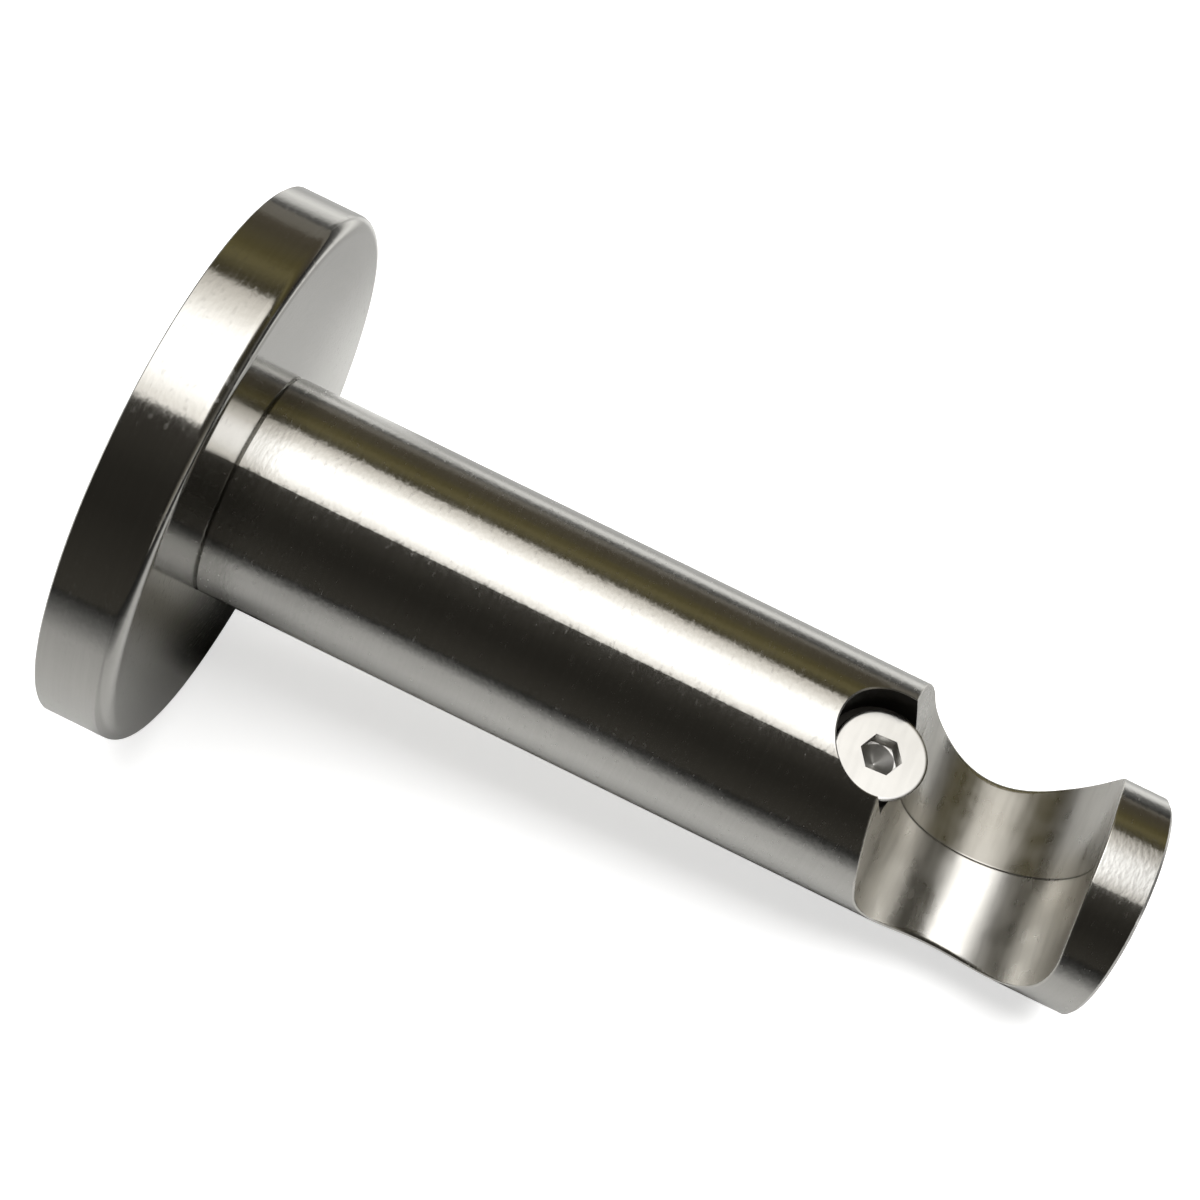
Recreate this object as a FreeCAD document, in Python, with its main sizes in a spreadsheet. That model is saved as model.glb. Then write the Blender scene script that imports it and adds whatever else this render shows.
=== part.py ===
import FreeCAD, Part
import math
import os

import Sketcher
from FreeCAD import Placement, Rotation, Vector

# Wall bracket for a 20 mm curtain pole: a hollow round rose that hides a screwed-on mounting
# plate, a solid round arm with a pole saddle near its free end, and a clamp screw at the saddle.
# The origin is the centre of the face that meets the wall. +Y points into the wall, the arm
# runs along -Y, the pole lies along X, and the saddle opens upwards, along +Z.
# "reach" is a distance out from the wall, and "height" is measured up from the arm's axis.

# Millimetres and degrees
SIZES = {
    # rose: the round cover on the wall
    "rose_radius": 30.5,
    "rose_thickness": 8.2,
    "rose_edge_round": 1.2,
    "rose_front_wall": 3.0,
    "rose_rim_wall": 3.5,
    # mounting plate: hidden in the rose and screwed to the wall
    "plate_gap": 0.4,
    "plate_thickness": 4.6,
    "plate_window_radius": 9.0,
    "plate_groove_depth": 1.3,
    "wall_screw_spacing": 36.0,
    "wall_screw_hole_radius": 2.4,
    "wall_screw_sink_radius": 4.6,
    "wall_screw_land": 1.6,
    # grub screw in the underside of the rose's rim
    "grub_radius": 2.0,
    "grub_sink": 0.3,
    "grub_flats": 2.0,
    "grub_socket_depth": 1.8,
    "grub_tip_gap": 0.15,
    # arm: one turned bar
    "arm_radius": 12.5,
    "arm_reach": 109.0,
    "arm_tip_chamfer": 0.35,
    "arm_seam_chamfer": 0.25,
    # saddle for the pole
    "pole_radius": 10.0,
    "pole_clearance": 0.6,
    "saddle_reach": 93.5,
    "ridge_depth": 5.2,
    "saddle_draft": 6.4,
    "saddle_flare": 18.0,
    "saddle_lean": 12.0,
    # clamp screw at the wall side of the saddle, with a flat head on a 90 degree cone
    "clamp_setback": 14.1,
    "clamp_thread_radius": 3.0,
    "clamp_length": 12.0,
    "clamp_head_radius": 4.95,
    "clamp_head_rim": 0.3,
    "clamp_head_height": 8.0,
    "clamp_flats": 3.9,
    "clamp_socket_depth": 2.4,
    "clamp_socket_turn": 4.0,
    "clamp_recess_height": 6.4,
    "clamp_recess_gap": 0.95,
    "clamp_sink_gap": 0.15,
    "clamp_hole_spare": 2.5,
    # screw that holds the arm to the rose from behind, with its lock washer
    "arm_screw_radius": 3.0,
    "arm_screw_length": 16.0,
    "arm_screw_head_radius": 5.0,
    "arm_screw_head_height": 3.9,
    "arm_screw_flats": 4.0,
    "arm_screw_socket_depth": 2.2,
    "arm_screw_spare": 2.0,
    "washer_thickness": 1.0,
    "washer_radius": 6.0,
    # shared
    "thread_gap": 0.05,
    "screw_hole_gap": 0.3,
    "screw_end_chamfer": 0.5,
    "drill_point_angle": 59.0,
}

doc = FreeCAD.newDocument("CurtainPoleBracket")
sheet = doc.addObject("Spreadsheet::Sheet", "dims")
for row, (alias, value) in enumerate(SIZES.items(), start=1):
    sheet.set("A%d" % row, alias)
    sheet.set("B%d" % row, str(value))
    sheet.setAlias("B%d" % row, alias)
doc.recompute()


def size(expression):
    """Put the sheet's name before each size in an expression, such as 'arm_reach - rose_thickness'."""
    words = []
    word = ""
    for letter in expression + " ":
        if letter.isalnum() or letter in "_.":
            word += letter
            continue
        words.append("dims." + word if word in SIZES else word)
        words.append(letter)
        word = ""
    return "".join(words).strip()


def new_body(label):
    """One piece of the bracket."""
    body = doc.addObject("PartDesign::Body", label)
    body.Label = label
    body.Placement = Placement(Vector(0, 0, 0), Rotation())
    return body


def new_sketch(body, name, plane, offset=None):
    """A sketch on one of the body's origin planes, moved along the plane's normal by an expression."""
    sketch = body.newObject("Sketcher::SketchObject", name)
    support = [f for f in body.Origin.OriginFeatures if f.Role == plane][0]
    sketch.AttachmentSupport = [(support, "")]
    sketch.MapMode = "FlatFace"
    if offset:
        sketch.setExpression("AttachmentOffset.Base.z", size(offset))
    return sketch


def hold_point(sketch, line, end, across, up):
    """Tie one end of a line, or a centre, to a place given by two expressions."""
    for kind, expression in (("DistanceX", across), ("DistanceY", up)):
        index = sketch.addConstraint(Sketcher.Constraint(kind, -1, 1, line, end, 1.0))
        sketch.setExpression("Constraints[%d]" % index, size(expression))


def outline(sketch, points):
    """A closed outline through points, each a pair of expressions."""
    count = len(points)
    start = [Vector(10 * math.cos(2 * math.pi * i / count), 10 * math.sin(2 * math.pi * i / count), 0)
             for i in range(count)]
    for i in range(count):
        sketch.addGeometry(Part.LineSegment(start[i], start[(i + 1) % count]), False)
    for i in range(count):
        sketch.addConstraint(Sketcher.Constraint("Coincident", i, 2, (i + 1) % count, 1))
    for i, (across, up) in enumerate(points):
        hold_point(sketch, i, 1, across, up)


def axis_line(sketch, across):
    """An upright construction line, to turn an outline about."""
    line = sketch.addGeometry(Part.LineSegment(Vector(1, 0, 0), Vector(1, 5, 0)), True)
    hold_point(sketch, line, 1, across, "0")
    hold_point(sketch, line, 2, across, "5")


def turn(body, name, kind, sketch, axis):
    """Revolve an outline, or groove with it, once round."""
    feature = body.newObject(kind, name)
    feature.Profile = sketch
    feature.ReferenceAxis = (sketch, [axis])
    feature.Angle = 360.0
    return feature


def hexagon(sketch, across, up, flats, degrees="0"):
    """A hexagon with the given width across its flats."""
    corner = "(%s) / sqrt(3)" % flats
    points = []
    for i in range(6):
        angle = "%d + %s" % (60 * i, degrees)
        points.append(("%s + %s * cos(%s)" % (across, corner, angle), "%s + %s * sin(%s)" % (up, corner, angle)))
    outline(sketch, points)


def socket(body, name, sketch, depth, reverse=False):
    """A hexagon socket, cut into the solid from the sketch's plane."""
    pocket = body.newObject("PartDesign::Pocket", name)
    pocket.Profile = sketch
    pocket.Type = "Length"
    pocket.Reversed = reverse
    pocket.setExpression("Length", size(depth))
    return pocket


def build_rose():
    """The hollow-backed round cover, with the arm's screw hole and the grub screw's hole."""
    body = new_body("rose")
    section = new_sketch(body, "rose_section", "YZ_Plane")
    ceiling = "-(rose_thickness - rose_front_wall)"
    hole = "arm_screw_radius + screw_hole_gap"
    outline(section, [
        ("0", "rose_radius"),
        ("-rose_thickness", "rose_radius"),
        ("-rose_thickness", hole),
        (ceiling, hole),
        (ceiling, "rose_radius - rose_rim_wall"),
        ("0", "rose_radius - rose_rim_wall"),
    ])
    turn(body, "rose_disc", "PartDesign::Revolution", section, "H_Axis")
    doc.recompute()

    rim = SIZES["rose_radius"]
    front = -SIZES["rose_thickness"]
    edge = 0
    for number, candidate in enumerate(body.Tip.Shape.Edges, start=1):
        box = candidate.BoundBox
        if abs(box.XMax - rim) < 0.01 and abs(box.YMax - front) < 0.01:
            edge = number
    rounding = body.newObject("PartDesign::Fillet", "rose_edge")
    rounding.Base = (body.getObject("rose_disc"), ["Edge%d" % edge])
    rounding.setExpression("Radius", size("rose_edge_round"))

    hole_sketch = new_sketch(body, "grub_hole_plan", "XY_Plane", "-(rose_radius + 1)")
    hole_sketch.addGeometry(Part.Circle(Vector(0, -2, 0), Vector(0, 0, 1), 2), False)
    hold_point(hole_sketch, 0, 3, "0", "-plate_thickness / 2")
    index = hole_sketch.addConstraint(Sketcher.Constraint("Radius", 0, 2.0))
    hole_sketch.setExpression("Constraints[%d]" % index, size("grub_radius + thread_gap"))
    hole = socket(body, "grub_hole", hole_sketch, "rose_rim_wall + 2", True)
    return body


def build_mounting_plate():
    """The plate on the wall: a window for the arm's screw, a groove for the grub screw, two wall screw holes."""
    body = new_body("mounting_plate")
    section = new_sketch(body, "plate_section", "YZ_Plane")
    rim = "rose_radius - rose_rim_wall - plate_gap"
    outline(section, [
        ("0", "plate_window_radius"),
        ("0", rim),
        ("-(plate_thickness / 2 - plate_groove_depth)", rim),
        ("-plate_thickness / 2", rim + " - plate_groove_depth"),
        ("-(plate_thickness / 2 + plate_groove_depth)", rim),
        ("-plate_thickness", rim),
        ("-plate_thickness", "plate_window_radius"),
    ])
    turn(body, "plate_disc", "PartDesign::Revolution", section, "H_Axis")

    hole = new_sketch(body, "wall_screw_section", "XY_Plane")
    middle = "wall_screw_spacing / 2"
    outline(hole, [
        (middle, "1"),
        (middle + " + wall_screw_hole_radius", "1"),
        (middle + " + wall_screw_hole_radius", "-wall_screw_land"),
        (middle + " + wall_screw_sink_radius", "-(wall_screw_land + wall_screw_sink_radius - wall_screw_hole_radius)"),
        (middle + " + wall_screw_sink_radius", "-(plate_thickness + 1)"),
        (middle, "-(plate_thickness + 1)"),
    ])
    axis_line(hole, middle)
    cut = turn(body, "wall_screw_hole", "PartDesign::Groove", hole, "Axis0")
    doc.recompute()
    pair = body.newObject("PartDesign::Mirrored", "wall_screw_holes")
    pair.Originals = [cut]
    pair.MirrorPlane = ([f for f in body.Origin.OriginFeatures if f.Role == "YZ_Plane"][0], [""])
    body.Tip = pair
    return body


def build_grub_screw():
    """The cone-point grub screw that draws the rose on to the mounting plate, under the rim."""
    body = new_body("rose_grub_screw")
    section = new_sketch(body, "grub_section", "YZ_Plane")
    middle = "-plate_thickness / 2"
    groove = "rose_radius - rose_rim_wall - plate_gap - plate_groove_depth"
    tip = groove + " + grub_tip_gap"
    outer = "rose_radius - grub_sink"
    outline(section, [
        (middle, "-(%s)" % outer),
        (middle + " + grub_radius - 0.3", "-(%s)" % outer),
        (middle + " + grub_radius", "-(%s - 0.3)" % outer),
        (middle + " + grub_radius", "-(%s + grub_radius)" % tip),
        (middle, "-(%s)" % tip),
    ])
    axis_line(section, middle)
    turn(body, "grub_pin", "PartDesign::Revolution", section, "Axis0")
    key = new_sketch(body, "grub_socket_plan", "XY_Plane", "-(%s)" % outer)
    hexagon(key, "0", middle, "grub_flats")
    socket(body, "grub_socket", key, "grub_socket_depth", True)
    return body


def build_arm():
    """The round bar, with the tapped hole in its wall end, the saddle and the clamp screw's sunk hole."""
    body = new_body("arm")
    section = new_sketch(body, "arm_section", "YZ_Plane")
    seam = "-rose_thickness"
    tap = "arm_screw_radius + thread_gap"
    depth = "arm_screw_length - rose_front_wall - washer_thickness + arm_screw_spare"
    point = "(%s) / tan(drill_point_angle)" % tap
    outline(section, [
        (seam, tap),
        (seam, "arm_radius - arm_seam_chamfer"),
        (seam + " - arm_seam_chamfer", "arm_radius"),
        ("-(arm_reach - arm_tip_chamfer)", "arm_radius"),
        ("-arm_reach", "arm_radius - arm_tip_chamfer"),
        ("-arm_reach", "0"),
        ("%s - (%s) - %s" % (seam, depth, point), "0"),
        ("%s - (%s)" % (seam, depth), tap),
    ])
    turn(body, "arm_bar", "PartDesign::Revolution", section, "H_Axis")

    side = "(arm_radius + 1)"
    sections = []
    for name, offset in (("saddle_far_side", side), ("saddle_ridge", None), ("saddle_near_side", "-" + side)):
        plan = new_sketch(body, name, "YZ_Plane", offset)
        drop = side + " * tan(saddle_draft)" if offset else "0"
        saddle_outline(plan, drop)
        sections.append(plan)
    saddle = body.newObject("PartDesign::SubtractiveLoft", "saddle")
    saddle.Profile = sections[0]
    saddle.Sections = sections[1:]
    saddle.Ruled = True
    saddle.Closed = False

    recess = new_sketch(body, "clamp_recess_section", "YZ_Plane")
    middle = "-(saddle_reach - clamp_setback)"
    wall = middle + " + clamp_head_radius + clamp_recess_gap"
    tap = "clamp_thread_radius + thread_gap"
    bottom = "clamp_head_height - clamp_length - clamp_hole_spare"
    sink = "clamp_head_radius + clamp_sink_gap"
    outline(recess, [
        (middle, "arm_radius + 2"),
        (wall, "arm_radius + 2"),
        (wall, "clamp_recess_height"),
        ("%s + %s" % (middle, sink), "clamp_recess_height"),
        ("%s + %s" % (middle, tap), "clamp_recess_height - (%s) + (%s)" % (sink, tap)),
        ("%s + %s" % (middle, tap), bottom),
        (middle, "%s - (%s) / tan(drill_point_angle)" % (bottom, tap)),
    ])
    axis_line(recess, middle)
    turn(body, "clamp_recess", "PartDesign::Groove", recess, "Axis0")
    return body


def saddle_outline(sketch, drop):
    """The pole's cradle: an arc, a wall flared towards the wall plate and a lip leaning over the pole."""
    centre_y = "-saddle_reach"
    radius = "(pole_radius + pole_clearance)"
    centre_z = "(pole_radius + pole_clearance - ridge_depth - %s)" % drop
    top = "(arm_radius + 3)"
    rise = "(%s - %s)" % (top, centre_z)
    flare_y = "%s + (%s + %s * sin(saddle_flare)) / cos(saddle_flare)" % (centre_y, radius, rise)
    lean_y = "%s - (%s - %s * sin(saddle_lean)) / cos(saddle_lean)" % (centre_y, radius, rise)

    middle = Vector(-SIZES["saddle_reach"], SIZES["pole_radius"] - SIZES["ridge_depth"], 0)
    first = SIZES["pole_radius"]
    flare = math.radians(SIZES["saddle_flare"])
    lean = math.radians(SIZES["saddle_lean"])
    circle = Part.Circle(middle, Vector(0, 0, 1), first)
    low = sketch.addGeometry(Part.ArcOfCircle(circle, math.pi - lean, 2 * math.pi - flare), False)
    tip_side = middle + Vector(-first * math.cos(lean), first * math.sin(lean), 0)
    wall_side = middle + Vector(first * math.cos(flare), -first * math.sin(flare), 0)
    tip_top = tip_side + Vector(1, 10, 0)
    wall_top = wall_side + Vector(3, 12, 0)
    right = sketch.addGeometry(Part.LineSegment(wall_side, wall_top), False)
    over = sketch.addGeometry(Part.LineSegment(wall_top, tip_top), False)
    left = sketch.addGeometry(Part.LineSegment(tip_top, tip_side), False)
    sketch.addConstraint(Sketcher.Constraint("Tangent", low, 2, right, 1))
    sketch.addConstraint(Sketcher.Constraint("Coincident", right, 2, over, 1))
    sketch.addConstraint(Sketcher.Constraint("Coincident", over, 2, left, 1))
    sketch.addConstraint(Sketcher.Constraint("Tangent", left, 2, low, 1))
    index = sketch.addConstraint(Sketcher.Constraint("Radius", low, first))
    sketch.setExpression("Constraints[%d]" % index, size(radius))
    hold_point(sketch, low, 3, centre_y, centre_z)
    hold_point(sketch, over, 1, flare_y, top)
    hold_point(sketch, over, 2, lean_y, top)


def build_clamp_screw():
    """The socket screw whose flat head bears on the pole's shoulder, drawn as far in as a pole lets it."""
    body = new_body("clamp_screw")
    section = new_sketch(body, "clamp_section", "YZ_Plane")
    middle = "-(saddle_reach - clamp_setback)"
    top = "clamp_head_height"
    end = top + " - clamp_length"
    outline(section, [
        (middle, top),
        (middle + " + clamp_head_radius", top),
        (middle + " + clamp_head_radius", top + " - clamp_head_rim"),
        (middle + " + clamp_thread_radius", top + " - clamp_head_rim - clamp_head_radius + clamp_thread_radius"),
        (middle + " + clamp_thread_radius", end + " + screw_end_chamfer"),
        (middle + " + clamp_thread_radius - screw_end_chamfer", end),
        (middle, end),
    ])
    axis_line(section, middle)
    turn(body, "clamp_pin", "PartDesign::Revolution", section, "Axis0")
    key = new_sketch(body, "clamp_socket_plan", "XY_Plane", top)
    hexagon(key, "0", middle, "clamp_flats", "90 + clamp_socket_turn")
    socket(body, "clamp_socket", key, "clamp_socket_depth")
    return body


def build_arm_screw():
    """The screw through the rose into the arm's wall end."""
    body = new_body("arm_screw")
    section = new_sketch(body, "arm_screw_section", "YZ_Plane")
    seat = "-(rose_thickness - rose_front_wall - washer_thickness)"
    back = seat + " + arm_screw_head_height"
    end = seat + " - arm_screw_length"
    outline(section, [
        (back, "0"),
        (back, "arm_screw_head_radius"),
        (seat, "arm_screw_head_radius"),
        (seat, "arm_screw_radius"),
        (end + " + screw_end_chamfer", "arm_screw_radius"),
        (end, "arm_screw_radius - screw_end_chamfer"),
        (end, "0"),
    ])
    turn(body, "arm_screw_pin", "PartDesign::Revolution", section, "H_Axis")
    key = new_sketch(body, "arm_screw_socket_plan", "XZ_Plane", "-(%s)" % back)
    hexagon(key, "0", "0", "arm_screw_flats")
    socket(body, "arm_screw_socket", key, "arm_screw_socket_depth", True)
    return body


def build_lock_washer():
    """The lock washer under the arm screw's head."""
    body = new_body("arm_lock_washer")
    section = new_sketch(body, "washer_section", "YZ_Plane")
    ceiling = "-(rose_thickness - rose_front_wall)"
    hole = "arm_screw_radius + screw_hole_gap"
    outline(section, [
        (ceiling, hole),
        (ceiling, "washer_radius"),
        (ceiling + " + washer_thickness", "washer_radius"),
        (ceiling + " + washer_thickness", hole),
    ])
    turn(body, "washer_ring", "PartDesign::Revolution", section, "H_Axis")
    return body


pieces = [
    build_rose(),
    build_mounting_plate(),
    build_grub_screw(),
    build_arm(),
    build_clamp_screw(),
    build_arm_screw(),
    build_lock_washer(),
]
doc.recompute()

for item in doc.Objects:
    if "Invalid" in item.State or "Error" in item.State:
        raise RuntimeError("%s failed: %s" % (item.Label, item.State))
for piece in pieces:
    shape = piece.Shape
    if shape.isNull() or not shape.isValid() or len(shape.Solids) != 1:
        raise RuntimeError("%s is not one valid solid" % piece.Label)

os.makedirs("parts", exist_ok=True)
for piece in pieces:
    piece.Shape.exportStep("parts/%s.step" % piece.Label)
    print("%-18s %10.1f mm3" % (piece.Label, piece.Shape.Volume))
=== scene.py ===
"""Looks of a brushed steel curtain pole bracket, laid out as a Blender add-on and run as a script."""

import math

import bmesh
import bpy
import numpy as np
from bpy.props import FloatProperty, FloatVectorProperty, PointerProperty
from mathutils import Matrix, Vector


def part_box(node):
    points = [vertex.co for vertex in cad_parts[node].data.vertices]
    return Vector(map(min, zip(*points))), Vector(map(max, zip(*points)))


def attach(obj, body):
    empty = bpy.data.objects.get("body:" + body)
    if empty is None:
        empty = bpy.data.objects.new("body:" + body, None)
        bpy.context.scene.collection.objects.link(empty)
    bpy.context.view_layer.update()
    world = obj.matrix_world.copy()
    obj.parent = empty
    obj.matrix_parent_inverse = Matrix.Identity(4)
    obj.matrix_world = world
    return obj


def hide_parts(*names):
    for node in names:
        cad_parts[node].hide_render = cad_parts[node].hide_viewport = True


bl_info = {
    "name": "Curtain Pole Bracket",
    "version": (1, 0, 0),
    "blender": (4, 5, 0),
    "location": "View3D > Sidebar > Bracket",
    "description": "Dresses a curtain pole bracket's frame in brushed steel and sets up its studio",
    "category": "Object",
}

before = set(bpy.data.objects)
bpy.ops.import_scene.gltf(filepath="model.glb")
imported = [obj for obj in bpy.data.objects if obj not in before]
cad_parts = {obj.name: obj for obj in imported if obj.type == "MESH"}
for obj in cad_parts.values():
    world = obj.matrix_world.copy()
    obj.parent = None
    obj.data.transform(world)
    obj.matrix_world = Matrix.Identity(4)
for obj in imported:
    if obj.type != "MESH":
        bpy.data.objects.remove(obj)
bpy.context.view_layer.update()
ARM_LOW, ARM_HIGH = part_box("arm")
ROSE_LOW, ROSE_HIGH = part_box("rose")
SCREW_LOW, SCREW_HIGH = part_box("clamp_screw")
PLATE_LOW, PLATE_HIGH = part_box("mounting_plate")

MM = 0.001
ARM_RADIUS = ARM_HIGH.z
SEAM_Y = ARM_HIGH.y
TIP_Y = ARM_LOW.y
ROSE_RADIUS = ROSE_HIGH.x
SCREW_Y = (SCREW_LOW.y + SCREW_HIGH.y) / 2
SCREW_HEAD_RADIUS = SCREW_HIGH.x

# Faces that meet at more than these angles have a sharp edge between them.
BODY_SHARP = math.radians(38)
SCREW_SHARP = math.radians(32)
TOOL_SHARP = math.radians(30)

# Columns of the turned meshes, and rows of the arm's surfaces and the thread.
RECESS_COLUMNS, ROSE_COLUMNS, GRUB_HOLE_COLUMNS, SCREW_COLUMNS = 180, 360, 64, 288
ROUNDING_ROWS, WALL_ROWS, TIP_ROWS, THREAD_ROWS = 9, 60, 12, 160

MIRROR_X = np.array([-1.0, 1.0, 1.0])


def a_length(name, description, millimetres):
    """A length's property, given in millimetres and kept in metres."""
    return FloatProperty(name=name, description=description, default=millimetres * MM, unit="LENGTH", precision=5)


def an_angle(name, description, degrees):
    """An angle's property, given in degrees and kept in radians."""
    return FloatProperty(name=name, description=description, default=math.radians(degrees), subtype="ANGLE")


def a_number(name, description, default):
    """A plain number's property."""
    return FloatProperty(name=name, description=description, default=default)


def a_colour(name, description, default):
    """A colour's property."""
    return FloatVectorProperty(
        name=name, description=description, default=default, subtype="COLOR", size=3, min=0, max=1)


class SaddleSizes(bpy.types.PropertyGroup):
    """The cradle for the pole, cut across the arm."""

    middle: a_length("Saddle reach", "Distance of the pole's axis from the wall", 93.5)
    radius: a_length("Cradle radius", "Radius of the cradle's round bottom", 10.6)
    depth: a_length("Ridge depth", "Depth of the cradle's lowest point under the arm's axis", 5.2)
    draft: an_angle("Draft", "Slope of both halves away from the ridge", 6.4)
    flare: an_angle("Flare", "Slope of the wall-side cheek from upright", 18.0)
    lean: an_angle("Lean", "How far the tip-side lip leans over the pole", 12.0)
    edge: a_length("Edge break", "Width of the rounding where the cradle meets the bar", 0.22)
    rolled: a_length("Rolled lip", "Extra width of it at the cradle's lowest edges", 0.9)
    groove: a_length("Parting line", "Half width of the fine line along the ridge", 0.12)


class ArmSizes(bpy.types.PropertyGroup):
    """The round bar's ends and the clamp screw's sunk hole."""

    tip_chamfer: a_length("Tip chamfer", "Edge break at the free end", 0.35)
    seam_chamfer: a_length("Seam chamfer", "Edge break at the rose", 0.25)
    recess_gap: a_length("Recess gap", "Gap round the clamp screw's head", 0.95)
    recess_edge: a_length("Recess edge", "Edge break round the recess", 0.18)
    recess_floor: a_length("Recess floor", "Height of the recess floor over the arm's axis", 6.4)
    hole_radius: a_length("Tapped hole", "Radius of the clamp screw's hole", 3.05)
    hole_end: a_length("Hole end", "Height of the hole's lower end", -6.5)
    tapped_radius: a_length("Wall-end hole", "Radius of the tapped hole in the wall end", 3.05)
    tapped_depth: a_length("Wall-end hole depth", "Depth of the tapped hole in the wall end", 14.0)


class RoseSizes(bpy.types.PropertyGroup):
    """The hollow round cover at the wall."""

    edge_round: a_length("Edge round", "Radius of the front edge", 1.5)
    front_wall: a_length("Front wall", "Thickness of the front", 3.0)
    rim_wall: a_length("Rim wall", "Thickness of the rim", 3.5)
    screw_hole: a_length("Screw hole", "Radius of the arm screw's hole", 3.3)
    grub_hole: a_length("Grub hole", "Radius of the grub screw's hole under the rim", 2.05)


class ClampSizes(bpy.types.PropertyGroup):
    """The clamp screw's head, socket and thread."""

    rim: a_length("Head rim", "Height of the head's upright rim", 0.3)
    thread_radius: a_length("Thread radius", "Outer radius of the thread", 3.0)
    pitch: a_length("Pitch", "Rise of the thread in one turn", 1.0)
    thread_depth: a_length("Thread depth", "Depth of the thread's valley", 0.55)
    flats: a_length("Across flats", "Width of the hexagon socket", 3.9)
    socket_depth: a_length("Socket depth", "Depth of the socket's flat sides", 1.9)
    socket_turn: an_angle("Socket turn", "Turn of the socket's corner from the arm's axis", 4.0)


class SteelColours(bpy.types.PropertyGroup):
    """Colours of the steel finishes, and the near-black of the hollows, which is painted shade."""

    turned: a_colour("Brushed steel", "Colour of the brushed bar and rose", (0.475, 0.468, 0.448))
    cradle: a_colour("Satin steel", "Colour of the cradle's rougher surface", (0.59, 0.577, 0.545))
    # Painted shade: the hollows' near-black colour stands in for the shade down in the recess and the holes.
    hollow: a_colour("Dark hollows", "Colour of the oily steel down in the holes", (0.06, 0.056, 0.05))
    screw: a_colour("Screw steel", "Colour of the screws", (0.455, 0.45, 0.436))
    zinc: a_colour("Plated steel", "Colour of the hidden mounting plate", (0.44, 0.45, 0.45))


class StudioSizes(bpy.types.PropertyGroup):
    """The pale floor, the lights and the cards round the bracket."""

    tent_radius: a_length("Tent radius", "Radius of the dark tent of cards about the arm's axis", 600.0)
    tent_half: a_length("Tent half length", "Half the length of the tent", 750.0)
    softbox_low: an_angle("Soft light start", "Angle over the +X horizon where the soft light starts", 47.5)
    softbox_high: an_angle("Soft light end", "Angle over the +X horizon where the soft light ends", 104.5)
    softbox_strength: a_number("Soft light strength", "Brightness of the soft light", 3.0)
    floor_strength: a_number("Floor light strength", "Brightness of the light that only the floor shows", 5.4)
    floor_slope: a_number("Floor slope", "Rise of the floor towards the tip, on which the bracket lies", 0.1773)
    floor_glow: a_number("Floor glow", "Light that the floor adds towards the camera", 0.62)
    lens: a_number("Lens", "Focal length in millimetres over a 36 mm sensor", 69.0)


def link(tree, source, target):
    """Join a node's output to a socket, or put a number or an RGB triple there."""
    if isinstance(source, bpy.types.NodeSocket):
        tree.links.new(source, target)
    elif isinstance(source, tuple):
        target.default_value = (*source, 1.0)
    else:
        target.default_value = source


def fill(tree, node, values):
    """Join or set a node's inputs by name."""
    for name, value in values.items():
        link(tree, value, node.inputs[name])


def math_node(tree, operation, first, second=0.0):
    """A Math node on sockets or numbers, and its output."""
    node = tree.nodes.new("ShaderNodeMath")
    node.operation = operation
    link(tree, first, node.inputs[0])
    link(tree, second, node.inputs[1])
    return node.outputs[0]


def times(tree, first, second):
    """The product of two values."""
    return math_node(tree, "MULTIPLY", first, second)


def plus_share(tree, first, second, share):
    """One value plus a share of another."""
    return math_node(tree, "ADD", first, times(tree, second, share))


def between(tree, value, low, high, out_low=0.0, out_high=1.0, smooth=True):
    """A Map Range node from low..high to out_low..out_high, and its output."""
    node = tree.nodes.new("ShaderNodeMapRange")
    node.interpolation_type = "SMOOTHSTEP" if smooth else "LINEAR"
    fill(tree, node, {"Value": value, "From Min": low, "From Max": high, "To Min": out_low, "To Max": out_high})
    return node.outputs["Result"]


def noise(tree, vector, detail, roughness=0.5, scale=1.0):
    """A noise texture on a vector, and its value."""
    node = tree.nodes.new("ShaderNodeTexNoise")
    fill(tree, node, {"Vector": vector, "Scale": scale, "Detail": detail, "Roughness": roughness})
    return node.outputs["Fac"]


def stretched(tree, parts, scales):
    """A vector whose parts are scaled one by one, each scale a number or a socket."""
    join = tree.nodes.new("ShaderNodeCombineXYZ")
    for index, (part, scale) in enumerate(zip(parts, scales)):
        link(tree, times(tree, part, scale), join.inputs[index])
    return join.outputs[0]


def new_group(name, scales, outputs):
    """A shader node group from a vector and the named scales to the named outputs. Back come the group, the
    vector's parts, and the sockets at its start and end."""
    group = bpy.data.node_groups.new(name, "ShaderNodeTree")
    group.interface.new_socket(name="Vector", in_out="INPUT", socket_type="NodeSocketVector")
    for socket in scales:
        group.interface.new_socket(name=socket, in_out="INPUT", socket_type="NodeSocketFloat")
    for socket in outputs:
        group.interface.new_socket(name=socket, in_out="OUTPUT", socket_type="NodeSocketFloat")
    start, end = group.nodes.new("NodeGroupInput"), group.nodes.new("NodeGroupOutput")
    split = group.nodes.new("ShaderNodeSeparateXYZ")
    link(group, start.outputs["Vector"], split.inputs[0])
    return group, split.outputs, start.outputs, end.inputs


TURNED_SCALES = {"Lines per metre": 3600.0, "Turns per metre": 70.0, "Flecks per metre": 1300.0}


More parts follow.
